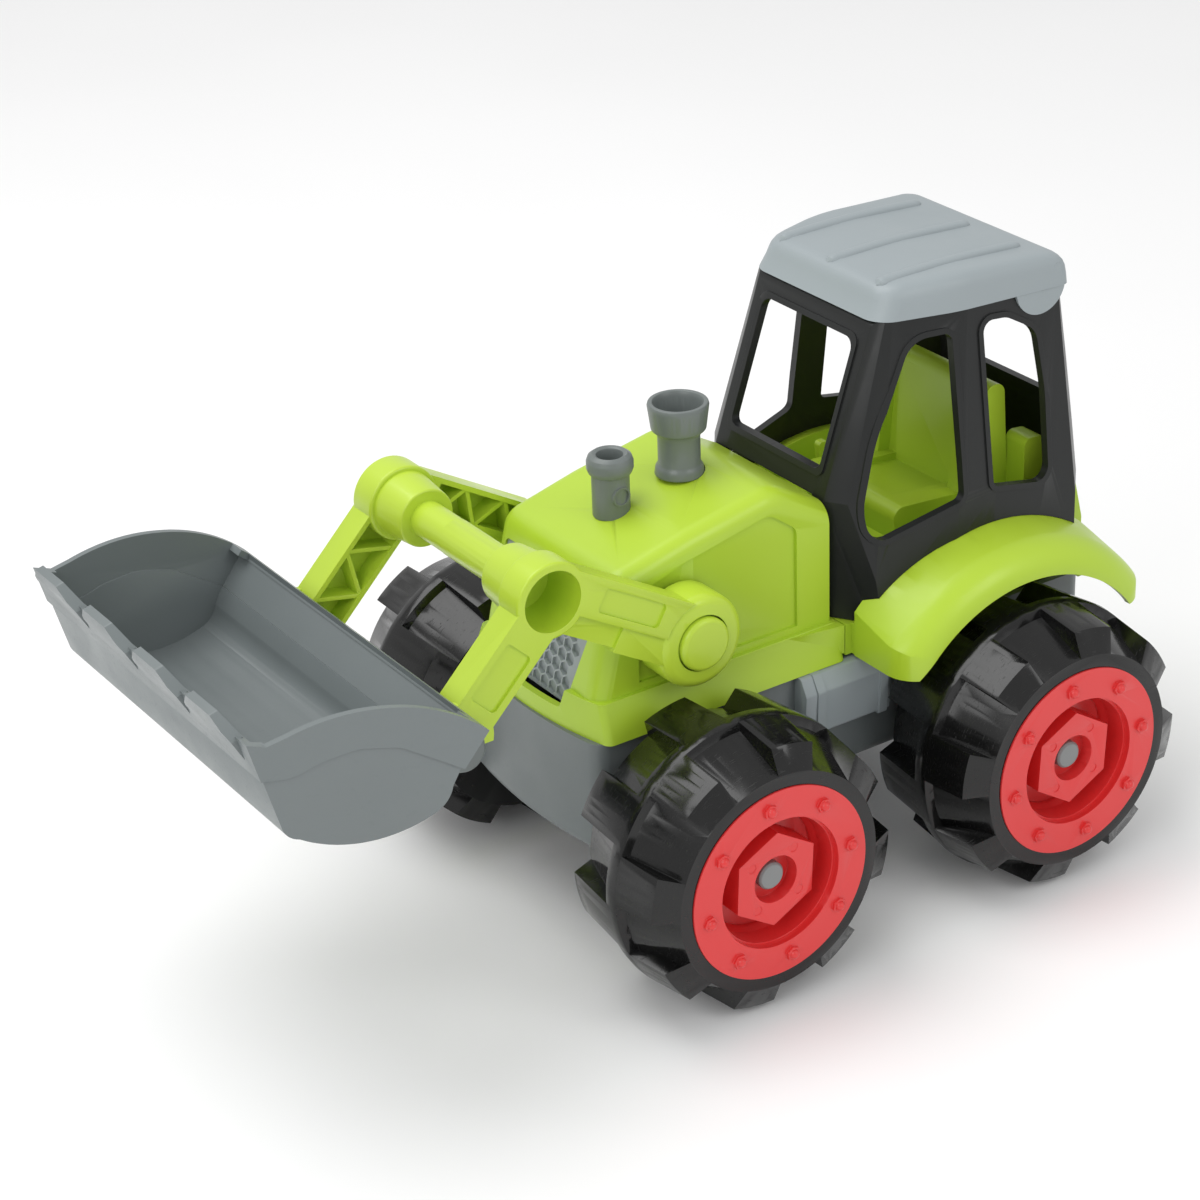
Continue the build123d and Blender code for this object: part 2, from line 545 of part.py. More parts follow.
def truss(x1, z1, x2, z2, low, high, start, end, bays):
    """Zigzag ribs between the flanges of a leg."""
    length, dx, dz = along(x1, z1, x2, z2)
    step = (length - start - end) / bays
    ribs = []
    for k in range(bays):
        a = start + k * step
        edges = ((low, high), (high, low))[k % 2]
        px, pz = x1 + a * dx - edges[0] * dz, z1 + a * dz + edges[0] * dx
        qx, qz = x1 + (a + step) * dx - edges[1] * dz, z1 + (a + step) * dz + edges[1] * dx
        ribs.append(slab(strip(px, pz, qx, qz, -0.7, 0.7), ARM_INNER_Y + 0.5, ARM_OUTER_Y - 2))
    return ribs


def leg(x1, z1, x2, z2, low, high, start, end, bays, taper=0.0):
    """Moulded leg: web with a sunk outer panel, flanges and ribs on the inner side."""
    body = slab(strip(x1, z1, x2, z2, low, high, taper=taper), ARM_INNER_Y, ARM_OUTER_Y)
    body -= slab(strip(x1, z1, x2, z2, low + 1.8, high - 1.8, start - 6.5, end - 6.5), ARM_INNER_Y - 1, ARM_OUTER_Y - 3)
    panel = strip(x1, z1, x2, z2, low + 2.6, high - 2.6, start, end)
    body -= slab(fillet(panel.vertices(), 1.6), ARM_OUTER_Y - 0.9, ARM_OUTER_Y + 1)
    return body + truss(x1, z1, x2, z2, low + 1, high - 1, start - 4, end - 4, bays)


def loader_arm():
    """Left arm: ring and half cross tube at the elbow, two legs, boss and hinge eye."""
    rear = leg(LIFT_X, LIFT_Z, ELBOW_X, ELBOW_Z, -2.0, 11.5, 21, 18, 4)
    front = leg(ELBOW_X, ELBOW_Z, TILT_X, TILT_Z, -8.3, 8.3, 18, 14, 3)
    ram = slab(strip(LIFT_X, LIFT_Z, ELBOW_X, ELBOW_Z, -9.5, -2.0), 42.5, 47.5)
    cylinder = slab(strip(LIFT_X, LIFT_Z, ELBOW_X, ELBOW_Z, -10.8, -2.0, end=32), 41.5, 48.5)
    boss = fillet(rod(LIFT_X, LIFT_Z, BOSS_R, 35.6, 49.6).edges().filter_by(lambda e: e.center().Y > 45), 3.5)
    ring = rod(ELBOW_X, ELBOW_Z, RING_R, 38.5, ARM_OUTER_Y)
    ring = fillet(ring.edges(), 1.0)
    collar = rod(ELBOW_X, ELBOW_Z, 10.0, COLLAR_END_Y, 40, end_radius=11.6)
    collar = fillet(collar.edges().filter_by(lambda e: e.center().Y < 30), 0.8)
    eye = rod(TILT_X, TILT_Z, EYE_R, ARM_INNER_Y, ARM_OUTER_Y)
    clip = rod(TILT_X, TILT_Z, 13.5, ARM_OUTER_Y - 2.4, ARM_OUTER_Y)
    clip -= block(TILT_X - 20, TILT_X + 20, 30, 60, TILT_Z - 20, TILT_Z - 3)
    body = rear + front + ram + cylinder
    body -= rod(LIFT_X, LIFT_Z, BOSS_R - 1, 30, 60)
    body -= rod(ELBOW_X, ELBOW_Z, RING_R - 1, 30, 60)
    body -= rod(TILT_X, TILT_Z, EYE_R - 1, 30, 47)
    body += [boss, ring, collar, eye, clip]
    body -= rod(ELBOW_X, ELBOW_Z, 9.2, 33, ARM_OUTER_Y + 0.1, end_radius=10.3)
    body -= rod(TILT_X, TILT_Z, TILT_PIN_R + HINGE_GAP, 30, 60)
    body -= rod(LIFT_X, LIFT_Z, PIN_R + HINGE_GAP, 30, 60)
    body -= rod(LIFT_X, LIFT_Z, 9.8, 46.0, 60)
    return body


def loader_arm_left():
    return loader_arm() + rod(ELBOW_X, ELBOW_Z, TUBE_R, SEAM_Y, COLLAR_END_Y + 1) \
        - rod(ELBOW_X, ELBOW_Z, 4.0, SEAM_Y - 1, 8)


def loader_arm_right():
    body = right_hand(loader_arm())
    body += rod(ELBOW_X, ELBOW_Z, TUBE_R - 0.15, -COLLAR_END_Y - 1, SEAM_Y)
    return body + rod(ELBOW_X, ELBOW_Z, 3.95, SEAM_Y - 1, 7)


def pivot_pin():
    """Snap pin of the lift pivot with a domed cap, left side."""
    head = fillet(rod(LIFT_X, LIFT_Z, 9.2, 46.4, 51.8).edges().filter_by(lambda e: e.center().Y > 50), 1.6)
    return head + rod(LIFT_X, LIFT_Z, PIN_R, 28.5, 47)


def bucket_pin():
    """Hinge pin of the bucket with a flat head, left side."""
    head = chamfer(rod(TILT_X, TILT_Z, 6.6, 54.6, 56.6).edges().filter_by(lambda e: e.center().Y > 56), 0.6)
    return head + rod(TILT_X, TILT_Z, TILT_PIN_R, 35.0, 55)


# ---- bucket -----------------------------------------------------------------------
BUCKET_REAR_HALF, BUCKET_FRONT_HALF = 76.4, 70.8
BACK_TOP = (90.8, 126.9)
LIP = (167.6, 146.2)
BUCKET_WALL = 2.2
TEETH = 4


def bucket_profile():
    """Side view of the bucket's outer form, with the arched top of its side plates."""
    arch_rear = ThreePointArc(BACK_TOP, (105.0, 137.6), (122.0, 144.3))
    arch_front = ThreePointArc((122.0, 144.3), (138.0, 146.6), (155.0, 144.9))
    dip = Polyline((155.0, 144.9), (161.5, 143.8), LIP)
    front = Line(LIP, (159.4, 114.6))
    corner = ThreePointArc((159.4, 114.6), (157.6, 111.6), (154.0, 109.4))
    belly = ThreePointArc((154.0, 109.4), (129.0, 100.9), (110.0, 103.4))
    heel = ThreePointArc((110.0, 103.4), (105.4, 106.2), (102.6, 111.4))
    back = Polyline((102.6, 111.4), (99.6, 116.5), BACK_TOP)
    return Pos(FX, 0, 0) * (Plane.XZ * make_face([arch_rear, arch_front, dip, front, corner, belly, heel, back]))


def below_band():
    """Everything below the raised band along the bucket's upper edge."""
    return side_view([(80, 101), (99.6, 116.5), (119.8, 130.4, 14), (133.0, 134.2, 14), (145.0, 133.6, 14),
                      (154.6, 131.2, 14), (163.0, 132.9), (180, 136), (180, 80), (80, 80)])


def bucket_plan(inset):
    f, r = BUCKET_FRONT_HALF - inset, BUCKET_REAR_HALF - inset
    return Pos(FX, 0, 0) * outline([(170, f), (90, r), (90, -r), (170, -f)])


def tooth(y):
    """Trapezoid tooth on the lip, thickened outwards and running out below."""
    blade = extrude(Plane.YZ * outline([(y - 14.2, -8), (y - 14.2, 0), (y - 7.4, 7.6, 1), (y + 7.4, 7.6, 1),
                                        (y + 14.2, 0), (y + 14.2, -8)]), 8)
    wedge = across(Plane.XZ * outline([(-2.2, -9), (0, -9), (3.0, 3), (3.2, 7.6), (0.4, 7.6), (-1.6, 0)]), 80)
    lean = math.degrees(math.atan2(LIP[0] - 159.4, LIP[1] - 114.6))
    return Pos(FX + LIP[0] - 0.6, 0, LIP[1] - 0.8) * Rot(Y=lean) * ((Pos(-4, 0, 0) * blade) & wedge)


def bucket():
    profile = bucket_profile()
    outer = across(profile, 90) & extrude(bucket_plan(0), 260)
    sunk = across(below_band(), 90)
    keep = across(offset(profile, -0.8), 90) & extrude(bucket_plan(0.8), 260)
    body = outer - (sunk - keep)
    hollow = offset(profile, -BUCKET_WALL)
    room = across(hollow, 90) & extrude(bucket_plan(BUCKET_WALL), 260)
    raised = across(Pos(-1.2, 0, 9) * hollow, 90) & extrude(bucket_plan(BUCKET_WALL), 260)
    low_room = across(offset(profile, -BUCKET_WALL - 0.8), 90) & extrude(bucket_plan(BUCKET_WALL + 0.8), 260)
    upper = room + raised + (Pos(0, 0, 6) * raised)
    body -= (upper - sunk) + (low_room & sunk)
    open_top = side_view([(93.6, 127.6), (100.6, 119), (157.0, 118), (160.8, 132), (165.2, 146.8), (165.2, 190),
                          (93.6, 190)])
    body -= across(open_top, BUCKET_FRONT_HALF - BUCKET_WALL - 0.9) & extrude(bucket_plan(BUCKET_WALL), 260)
    pitch = 2 * BUCKET_FRONT_HALF / TEETH - 1.6
    body += [tooth((k - (TEETH - 1) / 2) * pitch) for k in range(TEETH)]
    lug_side = side_view([(108, 104), (102.6, 111.4), (96.5, 121.0), (87.2, 115.3), (80.4, 108.5), (87.2, 101.7)])
    for low, high in ((50.6, 54.4), (35.2, 38.9)):
        lug = (slab(lug_side, low, high) - across(profile, 90)) + rod(TILT_X, TILT_Z, 7.4, low, high)
        lug -= rod(TILT_X, TILT_Z, TILT_PIN_R - PRESS, 30, 60)
        body += lug
        body += right_hand(lug)
    return body


# ---- write the pieces ---------------------------------------------------------------
def wheel_set(name, x):
    """Both tyres, both rims and the axle of one wheel pair."""
    left_tyre, left_rim = on_axle(tyre(), x), on_axle(rim(), x)
    return {
        "tyre_" + name + "_left": left_tyre,
        "tyre_" + name + "_right": right_hand(left_tyre),
        "rim_" + name + "_left": left_rim,
        "rim_" + name + "_right": right_hand(left_rim),
        "axle_" + name: axle(x),
    }


PIECES = {
    "chassis": chassis(),
    "body_screws": screws(),
    "side_box_left": side_box(),
    "side_box_right": right_hand(side_box()),
    "hood": hood(),
    "grille": grille(),
    "exhaust_stack": stack_tall(),
    "intake_stack": stack_short(),
    "rear_body": rear_body(),
    "cab_frame": cab_frame(),
    "roof": roof(),
    "loader_arm_left": loader_arm_left(),
    "loader_arm_right": loader_arm_right(),
    "lift_pin_left": pivot_pin(),
    "lift_pin_right": right_hand(pivot_pin()),
    "bucket": bucket(),
    "bucket_pin_left": bucket_pin(),
    "bucket_pin_right": right_hand(bucket_pin()),
    **wheel_set("front", FX),
    **wheel_set("rear", RX),
}

os.makedirs("parts", exist_ok=True)
for node, piece in PIECES.items():
    export_step(piece, "parts/" + node + ".step")
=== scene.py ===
import json
import math

import bmesh
import bpy
from mathutils import Matrix, Vector

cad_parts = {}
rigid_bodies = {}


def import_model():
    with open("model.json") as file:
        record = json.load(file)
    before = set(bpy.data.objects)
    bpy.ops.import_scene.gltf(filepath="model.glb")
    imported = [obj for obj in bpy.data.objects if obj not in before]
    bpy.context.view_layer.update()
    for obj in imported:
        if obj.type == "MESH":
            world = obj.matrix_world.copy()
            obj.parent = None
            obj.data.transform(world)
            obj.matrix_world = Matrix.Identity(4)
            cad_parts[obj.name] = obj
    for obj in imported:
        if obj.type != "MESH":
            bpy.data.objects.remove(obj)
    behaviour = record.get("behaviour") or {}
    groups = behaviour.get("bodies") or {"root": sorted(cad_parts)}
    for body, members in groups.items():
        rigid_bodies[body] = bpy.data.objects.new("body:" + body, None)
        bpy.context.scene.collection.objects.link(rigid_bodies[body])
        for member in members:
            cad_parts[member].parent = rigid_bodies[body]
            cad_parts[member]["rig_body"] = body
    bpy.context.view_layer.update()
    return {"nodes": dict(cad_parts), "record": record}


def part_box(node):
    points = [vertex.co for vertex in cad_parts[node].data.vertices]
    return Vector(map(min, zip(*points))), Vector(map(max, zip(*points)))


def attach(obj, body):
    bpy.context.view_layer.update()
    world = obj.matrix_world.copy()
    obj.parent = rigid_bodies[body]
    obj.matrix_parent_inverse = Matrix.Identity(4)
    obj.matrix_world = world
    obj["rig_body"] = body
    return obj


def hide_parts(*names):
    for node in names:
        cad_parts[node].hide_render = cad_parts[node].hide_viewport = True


# Looks for the toy front loader: softened mouldings, a rounded roof, moulded plastic
# materials, soft studio light and the camera.  Metres, in the frame's own axes; shapes are
# worked out in millimetres and turned into metres by MM.

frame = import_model()
NODES = frame["nodes"]
BODY_OF = {n: o["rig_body"] for n, o in NODES.items()}
SLOT_OF = {s["node"]: s["material_slot"] for s in frame["record"]["subparts"]}
MM = 0.001


# ---- materials ----------------------------------------------------------------------
# scales of the noises in a plastic, in cells per metre
TONE_SCALE, SHINE_SCALE, SCRATCH_SCALE, WAVE_SCALE, GRAIN_SCALE = 14, 55, 260, 120, 2600
TONE_STRETCH, SCRATCH_STRETCH = (1, 1.6, 0.8), (1, 9, 2)
SCRATCH_LEVEL, SCRATCH_BAND = 0.66, 0.04  # noise values that count as a scratch
WAVE_SHARE, BUMP_STRENGTH = 0.35, 0.35
COAT_ROUGHNESS = 0.12


def new_material(name):
    material = bpy.data.materials.new(name)
    material.use_nodes = True
    nodes = material.node_tree.nodes
    nodes.clear()
    output = nodes.new("ShaderNodeOutputMaterial")
    shader = nodes.new("ShaderNodeBsdfPrincipled")
    material.node_tree.links.new(shader.outputs["BSDF"], output.inputs["Surface"])
    return material, nodes, material.node_tree.links, shader


def noise(nodes, links, coords, scale, detail, stretch=(1, 1, 1)):
    """Noise in object space; stretch squeezes it along an axis."""
    mapping = nodes.new("ShaderNodeMapping")
    mapping.inputs["Scale"].default_value = stretch
    links.new(coords.outputs["Object"], mapping.inputs["Vector"])
    texture = nodes.new("ShaderNodeTexNoise")
    texture.inputs["Scale"].default_value = scale
    texture.inputs["Detail"].default_value = detail
    links.new(mapping.outputs["Vector"], texture.inputs["Vector"])
    return texture


def spread(nodes, links, source, low, high, centre=0.5, width=0.3):
    """Map the middle of a noise to the range low..high."""
    ramp = nodes.new("ShaderNodeMapRange")
    ramp.inputs["From Min"].default_value = centre - width / 2
    ramp.inputs["From Max"].default_value = centre + width / 2
    ramp.inputs["To Min"].default_value = low
    ramp.inputs["To Max"].default_value = high
    links.new(source.outputs[0], ramp.inputs["Value"])
    return ramp


def plastic(name, colour, deep, roughness, grain=0.012, grain_scale=GRAIN_SCALE, scratches=0.0,
            coat=0.0, specular=0.5):
    """Moulded plastic: tone drifting between two colours, fine grain, faint scratches."""
    material, nodes, links, shader = new_material(name)
    coords = nodes.new("ShaderNodeTexCoord")
    drift = noise(nodes, links, coords, TONE_SCALE, 3, TONE_STRETCH)
    tone = spread(nodes, links, drift, 0, 0.5, width=0.5)
    mix = nodes.new("ShaderNodeMix")
    mix.data_type = "RGBA"
    mix.inputs["A"].default_value = (*colour, 1)
    mix.inputs["B"].default_value = (*deep, 1)
    links.new(tone.outputs["Result"], mix.inputs["Factor"])
    links.new(mix.outputs["Result"], shader.inputs["Base Color"])

    patches = noise(nodes, links, coords, SHINE_SCALE, 4)
    shine = spread(nodes, links, patches, roughness - 0.05, roughness + 0.06)
    marks = noise(nodes, links, coords, SCRATCH_SCALE, 2, SCRATCH_STRETCH)
    lines = spread(nodes, links, marks, 0, scratches, SCRATCH_LEVEL, SCRATCH_BAND)
    rough = nodes.new("ShaderNodeMath")
    rough.operation = "ADD"
    rough.use_clamp = True
    links.new(shine.outputs["Result"], rough.inputs[0])
    links.new(lines.outputs["Result"], rough.inputs[1])
    links.new(rough.outputs["Value"], shader.inputs["Roughness"])

    fine = noise(nodes, links, coords, grain_scale, 2)
    waves = noise(nodes, links, coords, WAVE_SCALE, 2)
    height = nodes.new("ShaderNodeMath")
    height.operation = "MULTIPLY_ADD"
    height.inputs[1].default_value = WAVE_SHARE
    links.new(waves.outputs[0], height.inputs[0])
    links.new(fine.outputs[0], height.inputs[2])
    bump = nodes.new("ShaderNodeBump")
    bump.inputs["Strength"].default_value = BUMP_STRENGTH
    bump.inputs["Distance"].default_value = grain * MM
    links.new(height.outputs["Value"], bump.inputs["Height"])
    links.new(bump.outputs["Normal"], shader.inputs["Normal"])
    shader.inputs["Specular IOR Level"].default_value = specular
    shader.inputs["Coat Weight"].default_value = coat
    shader.inputs["Coat Roughness"].default_value = COAT_ROUGHNESS
    return material


def steel(name):
    """Bright metal with an uneven shine."""
    material, nodes, links, shader = new_material(name)
    coords = nodes.new("ShaderNodeTexCoord")
    patches = noise(nodes, links, coords, 900, 3)
    shine = spread(nodes, links, patches, 0.25, 0.45)
    links.new(shine.outputs["Result"], shader.inputs["Roughness"])
    shader.inputs["Base Color"].default_value = (0.55, 0.55, 0.54, 1)
    shader.inputs["Metallic"].default_value = 1.0
    return material


# material slot: colour, second colour, roughness, then what differs from the defaults
PLASTICS = {
    "lime_body": ((0.44, 0.62, 0.038), (0.39, 0.57, 0.022), 0.38, dict(coat=0.10)),
    "lime_arms": ((0.48, 0.65, 0.045), (0.43, 0.60, 0.028), 0.35, dict(coat=0.15)),
    "grey_body": ((0.165, 0.185, 0.187), (0.14, 0.16, 0.163), 0.40, dict(scratches=0.10)),
    "grey_bucket": ((0.165, 0.188, 0.19), (0.14, 0.16, 0.162), 0.38, dict(scratches=0.16)),
    "grey_stack": ((0.15, 0.17, 0.165), (0.125, 0.145, 0.14), 0.36, {}),
    "grey_light": ((0.30, 0.34, 0.355), (0.27, 0.305, 0.32), 0.45, {}),
    "grille_grey": ((0.28, 0.31, 0.32), (0.24, 0.27, 0.28), 0.40, {}),
    "cab_dark": ((0.011, 0.012, 0.012), (0.016, 0.017, 0.017), 0.36,
                 dict(grain=0.03, grain_scale=1500, scratches=0.08, specular=0.35)),
    "tyre_black": ((0.004, 0.004, 0.004), (0.006, 0.006, 0.006), 0.17,
                   dict(grain=0.006, scratches=0.20, specular=0.45)),
    "rim_red": ((0.70, 0.030, 0.030), (0.60, 0.020, 0.022), 0.33, dict(coat=0.2)),
    "axle_grey": ((0.22, 0.235, 0.235), (0.17, 0.18, 0.18), 0.40, {}),
}
MATERIALS = {name: plastic(name, colour, deep, roughness, **rest)
             for name, (colour, deep, roughness, rest) in PLASTICS.items()}
MATERIALS["screw_steel"] = steel("screw_steel")


# ---- shared mesh tools --------------------------------------------------------------
WELD = 0.002 * MM
FLAT_ANGLE = math.radians(0.6)  # facets closer than this are one flat face
EDGE_ANGLE = math.radians(30)   # edges sharper than this are rounded


def piece(name, mesh, node, smooth_angle=40):
    """Make an object that stands for a CAD node and moves with its body."""
    obj = bpy.data.objects.new(name, mesh)
    bpy.context.scene.collection.objects.link(obj)
    mesh.materials.clear()
    mesh.materials.append(MATERIALS[SLOT_OF[node]])
    mesh.shade_smooth()
    mesh.set_sharp_from_angle(angle=math.radians(smooth_angle))
    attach(obj, BODY_OF[node])
    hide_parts(node)
    return obj


def softened(node, width):
    """Copy of a CAD moulding with its sharp edges rounded, width in mm."""
    source = bmesh.new()
    source.from_mesh(NODES[node].data)
    bmesh.ops.remove_doubles(source, verts=source.verts, dist=WELD)
    bmesh.ops.dissolve_limit(source, angle_limit=FLAT_ANGLE, verts=source.verts,
                             edges=source.edges, use_dissolve_boundaries=False, delimit=set())
    mesh = bpy.data.meshes.new(node + "_look")
    source.to_mesh(mesh)
    source.free()
    obj = piece(node + "_look", mesh, node)
    bevel = obj.modifiers.new("soft edges", "BEVEL")
    bevel.width = width * MM
    bevel.segments = 2
    bevel.limit_method = "ANGLE"
    bevel.angle_limit = EDGE_ANGLE
    bevel.miter_outer = "MITER_ARC"
    bevel.use_clamp_overlap = True
    bevel.harden_normals = True
    return obj


# ---- mouldings ----------------------------------------------------------------------
# how wide each moulding's edges are rounded, in mm
SOFT_EDGES = {
    "hood": 0.9, "rear_body": 0.8, "cab_frame": 0.9, "chassis": 0.8,
    "side_box_left": 0.3, "side_box_right": 0.3,
    "exhaust_stack": 0.35, "intake_stack": 0.35,
    "loader_arm_left": 0.45, "loader_arm_right": 0.45,
    "lift_pin_left": 0.4, "lift_pin_right": 0.4, "bucket": 0.5,
    "bucket_pin_left": 0.3, "bucket_pin_right": 0.3,
}
for wheel in ("front_left", "front_right", "rear_left", "rear_right"):
    SOFT_EDGES["rim_" + wheel] = 0.3
    SOFT_EDGES["tyre_" + wheel] = 0.45
for thin in ("axle_front", "axle_rear", "body_screws"):
    SOFT_EDGES[thin] = 0.2
for node, width in SOFT_EDGES.items():
    softened(node, width)


# ---- roof ---------------------------------------------------------------------------
# all in mm; x falls from the front edge to the rear edge
ROOF_LOW, ROOF_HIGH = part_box("roof")
ROOF_FRONT, ROOF_REAR = ROOF_HIGH[0] / MM, ROOF_LOW[0] / MM
ROOF_LENGTH = ROOF_FRONT - ROOF_REAR
ROOF_HALF = ROOF_HIGH[1] / MM             # half the width at the rear
FRONT_WIDTH, BEND_WIDTH = 0.815, 0.962    # widths at the front and the bend, over the rear one
BEND_X, BEND_RADIUS = ROOF_FRONT - 29.4, 60
REAR_CORNER = 0.45                        # rear corner radius over the front one
CORNER = 9
CROWN_FRONT, CROWN_RISE, CROWN_FALL = 206.5, 4.3, 6.4
RIM_FRONT, RIM_FALL = 196.0, 2.1
CEILING = 201.0
# each ring of the roof: drop below the crown, then how far in it is at the side, front and rear
ROOF_RINGS = [(7.0, 0.6, 2.4, 0.0), (4.6, 1.0, 3.4, 0.3), (3.0, 1.5, 4.1, 0.9),
              (1.7, 2.3, 5.0, 1.9), (0.8, 3.3, 6.1, 3.1), (0.25, 4.5, 7.4, 4.6),
              (0.0, 6.2, 9.2, 6.6)]

RIB_ROWS = (-26.0, 0.0, 26.0)
RIB_FRONT, RIB_REAR = ROOF_FRONT - 6.0, ROOF_FRONT - 67.0
RIB_HALF, RIB_HEIGHT = 2.3, 1.25
RIB_ROOT, FRONT_ROOT, FRONT_PART = 0.5, 0.9, 6  # depth in the roof; deeper in the front part
RIB_STEPS, RIB_SIDES = 60, 8

TAB_X, TAB_Z, TAB_RADIUS, TAB_THICK, TAB_STEPS = ROOF_FRONT - 63.6, 196.2, 10.3, 2.2, 48
TAB_TOP, TAB_TOP_SLOPE = 197.2, 0.6       # the tab is cut off here, rising to the rear
TAB_PROUD = 0.06
LEAN_FROM, LEAN, CURL_FROM, CURL = 194.0, 0.16, 199.0, 0.02  # how the tab follows the roof's side


def crown(x):
    """Height of the roof's top line."""
    t = (ROOF_FRONT - x) / ROOF_LENGTH
    return CROWN_FRONT + CROWN_RISE * t - CROWN_FALL * t * t


def rim(x):
    """Height of the roof's lower edge."""
    return RIM_FRONT - RIM_FALL * (ROOF_FRONT - x) / ROOF_LENGTH


def rounded_loop(corners, steps=8):
    """Points of a closed outline whose corners are arcs."""
    points = []
    count = len(corners)
    for k, (x, y, radius) in enumerate(corners):
        here = Vector((x, y))
        before = (Vector(corners[k - 1][:2]) - here).normalized()
        after = (Vector(corners[(k + 1) % count][:2]) - here).normalized()
        half = before.angle(after) / 2
        reach = radius / math.tan(half)
        start, end = here + before * reach, here + after * reach
        centre = here + (before + after).normalized() * (radius / math.sin(half))
        for j in range(steps + 1):
            spot = start.lerp(end, j / steps) - centre
            points.append(centre + spot.normalized() * radius)
    return points


def roof_loop(side, front, rear, corner):
    """The roof's outline, moved in by side, front and rear."""
    left = [(ROOF_FRONT - front, ROOF_HALF * FRONT_WIDTH - side, corner),
            (BEND_X, ROOF_HALF * BEND_WIDTH - side, BEND_RADIUS),
            (ROOF_REAR + rear, ROOF_HALF - side, corner * REAR_CORNER)]
    right = [(x, -y, r) for x, y, r in reversed(left)]
    return rounded_loop(left + right)


def vertex(shape, x, y, z):
    return shape.verts.new((x * MM, y * MM, z * MM))


def join(shape, a, b, closed=True):
    """Faces between two rows of vertices."""
    for k in range(len(a) if closed else len(a) - 1):
        n = (k + 1) % len(a)
        shape.faces.new((a[k], a[n], b[n], b[k]))


def roof_shell(shape):
    """The cap: outside rings from the rim to the crown, and a hollow underneath."""
    def ring(loop, height):
        return [vertex(shape, p.x, p.y, height(p.x)) for p in loop]

    ceiling = ring(roof_loop(3.6, 4.6, 3.6, 5), lambda x: CEILING)
    inner = ring(roof_loop(2.4, 2.4, 2.4, 6), rim)
    foot = ring(roof_loop(0, 0, 0, CORNER), rim)
    rings = [ring(roof_loop(side, front, rear, CORNER), lambda x, drop=drop: crown(x) - drop)
             for drop, side, front, rear in ROOF_RINGS]
    rows = [ceiling, inner, foot] + rings
    for a, b in zip(rows, rows[1:]):
        join(shape, a, b)
    shape.faces.new(rings[-1])
    shape.faces.new(list(reversed(ceiling)))
    bmesh.ops.triangulate(shape, faces=[f for f in shape.faces if len(f.verts) > 4])


def roof_rib(shape, row):
    """A low rounded bar with round ends."""
    rows = []
    for k in range(RIB_STEPS + 1):
        x = RIB_FRONT + (RIB_REAR - RIB_FRONT) * k / RIB_STEPS
        near_end = min(RIB_FRONT - x, x - RIB_REAR)
        size = math.sqrt(max(0.0, 1 - (1 - min(near_end / RIB_HALF, 1)) ** 2))
        size = max(size, 0.05)
        root = FRONT_ROOT if RIB_FRONT - x < FRONT_PART else RIB_ROOT
        base = crown(x) - root
        angles = [math.pi * j / RIB_SIDES for j in range(RIB_SIDES + 1)]
        rows.append([vertex(shape, x, row + RIB_HALF * size * math.cos(a),
                            base + (root + RIB_HEIGHT) * size * math.sin(a)) for a in angles])
    for a, b in zip(rows, rows[1:]):
        join(shape, a, b, closed=False)


def roof_tab(shape, side):
    """The round tab at a rear corner; side is 1 on the left and -1 on the right."""
    outer, back = [], []
    for k in range(TAB_STEPS):
        a = 2 * math.pi * k / TAB_STEPS
        x, z = TAB_X + TAB_RADIUS * math.cos(a), TAB_Z + TAB_RADIUS * math.sin(a)
        z = min(z, TAB_TOP + TAB_TOP_SLOPE * max(0.0, TAB_X - x))
        face_y = ROOF_HALF * (BEND_WIDTH + (1 - BEND_WIDTH) * (BEND_X - x) / (BEND_X - ROOF_REAR))
        lean = LEAN * max(0.0, z - LEAN_FROM) + CURL * max(0.0, z - CURL_FROM) ** 2
        outer.append(vertex(shape, x, side * min(face_y - lean + TAB_PROUD, ROOF_HALF), z))
        back.append(vertex(shape, x, side * (face_y - TAB_THICK), z))
    join(shape, outer, back)
    shape.faces.new(outer)


def roof_piece():
    shape = bmesh.new()
    roof_shell(shape)
    for row in RIB_ROWS:
        roof_rib(shape, row)
    for side in (1, -1):
        roof_tab(shape, side)
    bmesh.ops.recalc_face_normals(shape, faces=shape.faces)
    mesh = bpy.data.meshes.new("roof_look")
    shape.to_mesh(mesh)
    shape.free()
    return piece("roof_look", mesh, "roof", 38)


roof_piece()


# ---- grille -------------------------------------------------------------------------
# its thin honeycomb keeps the CAD's own edges
grille_mesh = NODES["grille"].data.copy()
grille_mesh.name = "grille_look"
piece("grille_look", grille_mesh, "grille", 30)


# ---- floor, light and camera --------------------------------------------------------
FLOOR_HALF = 6.0
WORLD_LIGHT = 0.72
LIGHT_TARGET = (0, 0, 0.08)
# name, position, side of the square, power
LIGHTS = [("key", (0.35, -0.35, 1.3), 0.9, 8.5), ("fill", (1.1, 0.5, 0.9), 0.7, 4),
          ("side", (-0.5, 1.2, 0.9), 0.6, 3)]

# The camera looks along this direction, in degrees. Seen from the front axle's middle it stands
# DISTANCE back, SIDE to its right and RISE up, in metres.
AZIMUTH, ELEVATION, ROLL = 146.931, 27.351, -2.251
DISTANCE, SIDE, RISE = 1.05145, -0.000306, 0.054026
SENSOR, LENS = 36, 92.81
CLIP_NEAR, CLIP_FAR = 0.05, 30


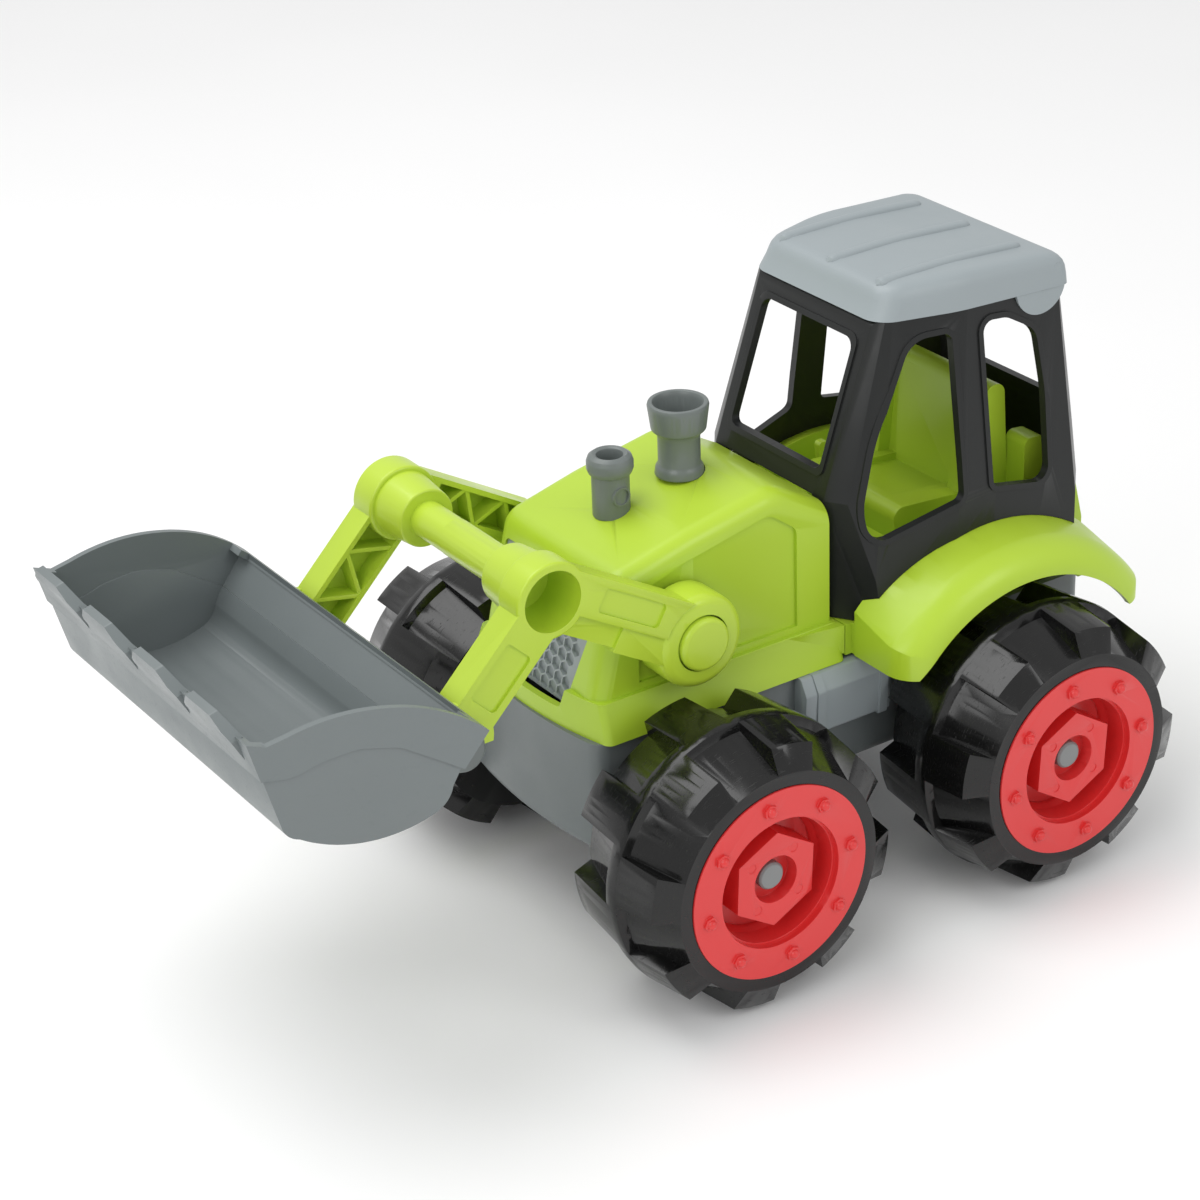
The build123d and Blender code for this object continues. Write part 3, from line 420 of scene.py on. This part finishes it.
def floor():
    mesh = bpy.data.meshes.new("floor")
    side = FLOOR_HALF
    corners = [(-side, -side, 0), (side, -side, 0), (side, side, 0), (-side, side, 0)]
    mesh.from_pydata(corners, [], [(0, 1, 2, 3)])
    obj = bpy.data.objects.new("floor", mesh)
    bpy.context.scene.collection.objects.link(obj)
    material, nodes, links, shader = new_material("floor")
    coords = nodes.new("ShaderNodeTexCoord")
    clouds = noise(nodes, links, coords, 3, 2)
    tone = spread(nodes, links, clouds, 0.93, 0.95)
    links.new(tone.outputs["Result"], shader.inputs["Base Color"])
    shader.inputs["Roughness"].default_value = 0.7
    shader.inputs["Specular IOR Level"].default_value = 0.2
    mesh.materials.append(material)


def area_light(name, position, side, power):
    data = bpy.data.lights.new(name, "AREA")
    data.shape = "RECTANGLE"
    data.size = data.size_y = side
    data.energy = power
    obj = bpy.data.objects.new(name, data)
    bpy.context.scene.collection.objects.link(obj)
    obj.location = position
    direction = Vector(LIGHT_TARGET) - Vector(position)
    obj.rotation_mode = "QUATERNION"
    obj.rotation_quaternion = direction.to_track_quat("-Z", "Y")


def world_light():
    world = bpy.data.worlds.new("studio")
    world.use_nodes = True
    background = world.node_tree.nodes["Background"]
    background.inputs["Color"].default_value = (1, 1, 1, 1)
    background.inputs["Strength"].default_value = WORLD_LIGHT
    bpy.context.scene.world = world


def camera():
    a, e, roll = math.radians(AZIMUTH), math.radians(ELEVATION), math.radians(ROLL)
    back = Vector((math.sin(a) * math.cos(e), -math.cos(a) * math.cos(e), math.sin(e)))
    right = Vector((math.cos(a), math.sin(a), 0))
    up = back.cross(right)
    low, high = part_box("axle_front")
    axle = (low + high) / 2
    data = bpy.data.cameras.new("camera")
    data.sensor_width = SENSOR
    data.lens = LENS
    data.clip_start, data.clip_end = CLIP_NEAR, CLIP_FAR
    obj = bpy.data.objects.new("camera", data)
    bpy.context.scene.collection.objects.link(obj)
    axis_x = right * math.cos(roll) + up * math.sin(roll)
    axis_y = up * math.cos(roll) - right * math.sin(roll)
    turn = Matrix((axis_x, axis_y, back)).transposed()
    place = axle + back * DISTANCE + right * SIDE + up * RISE
    obj.matrix_world = Matrix.Translation(place) @ turn.to_4x4()
    bpy.context.scene.camera = obj


floor()
world_light()
bpy.context.scene.view_settings.view_transform = "Standard"
for light in LIGHTS:
    area_light(*light)
camera()
